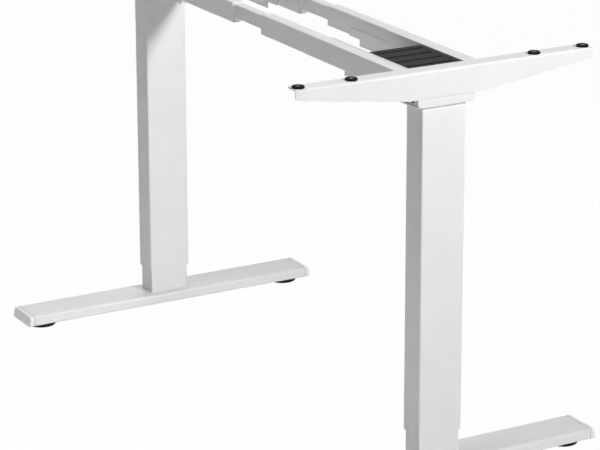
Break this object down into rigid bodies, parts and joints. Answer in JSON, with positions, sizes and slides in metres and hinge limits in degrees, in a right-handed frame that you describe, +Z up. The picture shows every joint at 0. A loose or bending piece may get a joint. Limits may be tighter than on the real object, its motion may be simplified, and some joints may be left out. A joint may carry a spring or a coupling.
{
  "type": "standing desk frame",
  "caption": "Height-adjustable two-leg standing desk frame with telescopic columns, sliding rails, flat feet and side brackets for a tabletop.",
  "frame": {"origin": "on the floor, midway between the two columns, at the narrowest and lowest setting", "axes": "+X along the rails towards the near leg, +Y along the feet, +Z up"},
  "size_m": [1.088, 0.63, 0.7205],
  "materials": {
    "white_coat": "satin powder coat",
    "white_plastic": "fine moulded texture",
    "grey_plastic": "moulded",
    "dark_plastic": "moulded",
    "ivory_plastic": "machined",
    "black_plastic": "moulded",
    "cover_plastic": "fine moulded texture",
    "black_rubber": "matt",
    "black_steel": "black oxide",
    "zinc_steel": "zinc plated",
    "bright_steel": "ground and greased",
    "motor_steel": "zinc plated",
    "cast_alloy": "die cast"
  },
  "bodies": {
    "near_base": {"near_foot": "white_coat", "near_cap_front": "white_plastic", "near_cap_back": "white_plastic", "near_glide_nuts": "zinc_steel", "near_inner_tube": "white_coat", "near_foot_bolts": "zinc_steel", "near_upper_guide": "dark_plastic", "near_spindle_nut": "ivory_plastic"},
    "near_top": {"near_outer_tube": "white_coat", "near_lower_guide": "dark_plastic", "near_head": "white_coat", "near_column_screws": "zinc_steel", "near_gearbox": "cast_alloy", "near_motor": "motor_steel", "near_motor_cover": "cover_plastic", "near_arm_front": "white_coat", "near_arm_back": "white_coat", "near_arm_screws": "black_steel", "near_side_bracket": "white_coat", "near_bracket_pads": "black_rubber", "near_rail_front": "white_coat", "near_rail_back": "white_coat", "near_rail_sleeves": "grey_plastic", "near_clamp_nuts": "zinc_steel", "near_clamp_screws": "black_steel"},
    "near_screw": {"near_spindle": "bright_steel"},
    "near_front_glide": {"near_glide_front": "black_plastic"},
    "near_back_glide": {"near_glide_back": "black_plastic"},
    "far_base": {"far_foot": "white_coat", "far_cap_front": "white_plastic", "far_cap_back": "white_plastic", "far_glide_nuts": "zinc_steel", "far_inner_tube": "white_coat", "far_foot_bolts": "zinc_steel", "far_upper_guide": "dark_plastic", "far_spindle_nut": "ivory_plastic"},
    "far_top": {"far_outer_tube": "white_coat", "far_lower_guide": "dark_plastic", "far_head": "white_coat", "far_column_screws": "zinc_steel", "far_gearbox": "cast_alloy", "far_motor": "motor_steel", "far_motor_cover": "cover_plastic", "far_arm_front": "white_coat", "far_arm_back": "white_coat", "far_arm_screws": "black_steel", "far_side_bracket": "white_coat", "far_bracket_pads": "black_rubber", "far_rail_front": "white_coat", "far_rail_back": "white_coat", "far_rail_sleeves": "grey_plastic", "far_clamp_nuts": "zinc_steel", "far_clamp_screws": "black_steel"},
    "far_screw": {"far_spindle": "bright_steel"},
    "far_front_glide": {"far_glide_front": "black_plastic"},
    "far_back_glide": {"far_glide_back": "black_plastic"},
    "inner_rails": {"inner_rail_front": "white_coat", "inner_rail_back": "white_coat"}
  },
  "joints": [
    {"name": "near_lift", "type": "slide", "parent": "near_base", "child": "near_top", "axis": [0, 0, 1], "range_m": [0, 0.45]},
    {"name": "near_spindle_turn", "type": "hinge", "parent": "near_top", "child": "near_screw", "pos_m": [0.505, 0, 0.3], "axis": [0, 0, 1], "range_deg": [0, 10130]},
    {"name": "near_width_slide", "type": "slide", "parent": "near_top", "child": "inner_rails", "axis": [-1, 0, 0], "range_m": [0, 0.25]},
    {"name": "far_width_slide", "type": "slide", "parent": "inner_rails", "child": "far_top", "axis": [-1, 0, 0], "range_m": [0, 0.25]},
    {"name": "far_lift", "type": "slide", "parent": "far_top", "child": "far_base", "axis": [0, 0, -1], "range_m": [0, 0.45]},
    {"name": "far_spindle_turn", "type": "hinge", "parent": "far_top", "child": "far_screw", "pos_m": [-0.505, 0, 0.3], "axis": [0, 0, 1], "range_deg": [0, 10130]},
    {"name": "near_front_levelling", "type": "slide", "parent": "near_base", "child": "near_front_glide", "axis": [0, 0, -1], "range_m": [0, 0.008]},
    {"name": "near_back_levelling", "type": "slide", "parent": "near_base", "child": "near_back_glide", "axis": [0, 0, -1], "range_m": [0, 0.008]},
    {"name": "far_front_levelling", "type": "slide", "parent": "far_base", "child": "far_front_glide", "axis": [0, 0, -1], "range_m": [0, 0.008]},
    {"name": "far_back_levelling", "type": "slide", "parent": "far_base", "child": "far_back_glide", "axis": [0, 0, -1], "range_m": [0, 0.008]}
  ],
  "couplings": [
    {"joint": "far_lift", "follows": "near_lift", "ratio": 1},
    {"joint": "near_spindle_turn", "follows": "near_lift", "rad_per_m": 392.7},
    {"joint": "far_spindle_turn", "follows": "near_lift", "rad_per_m": 392.7}
  ]
}
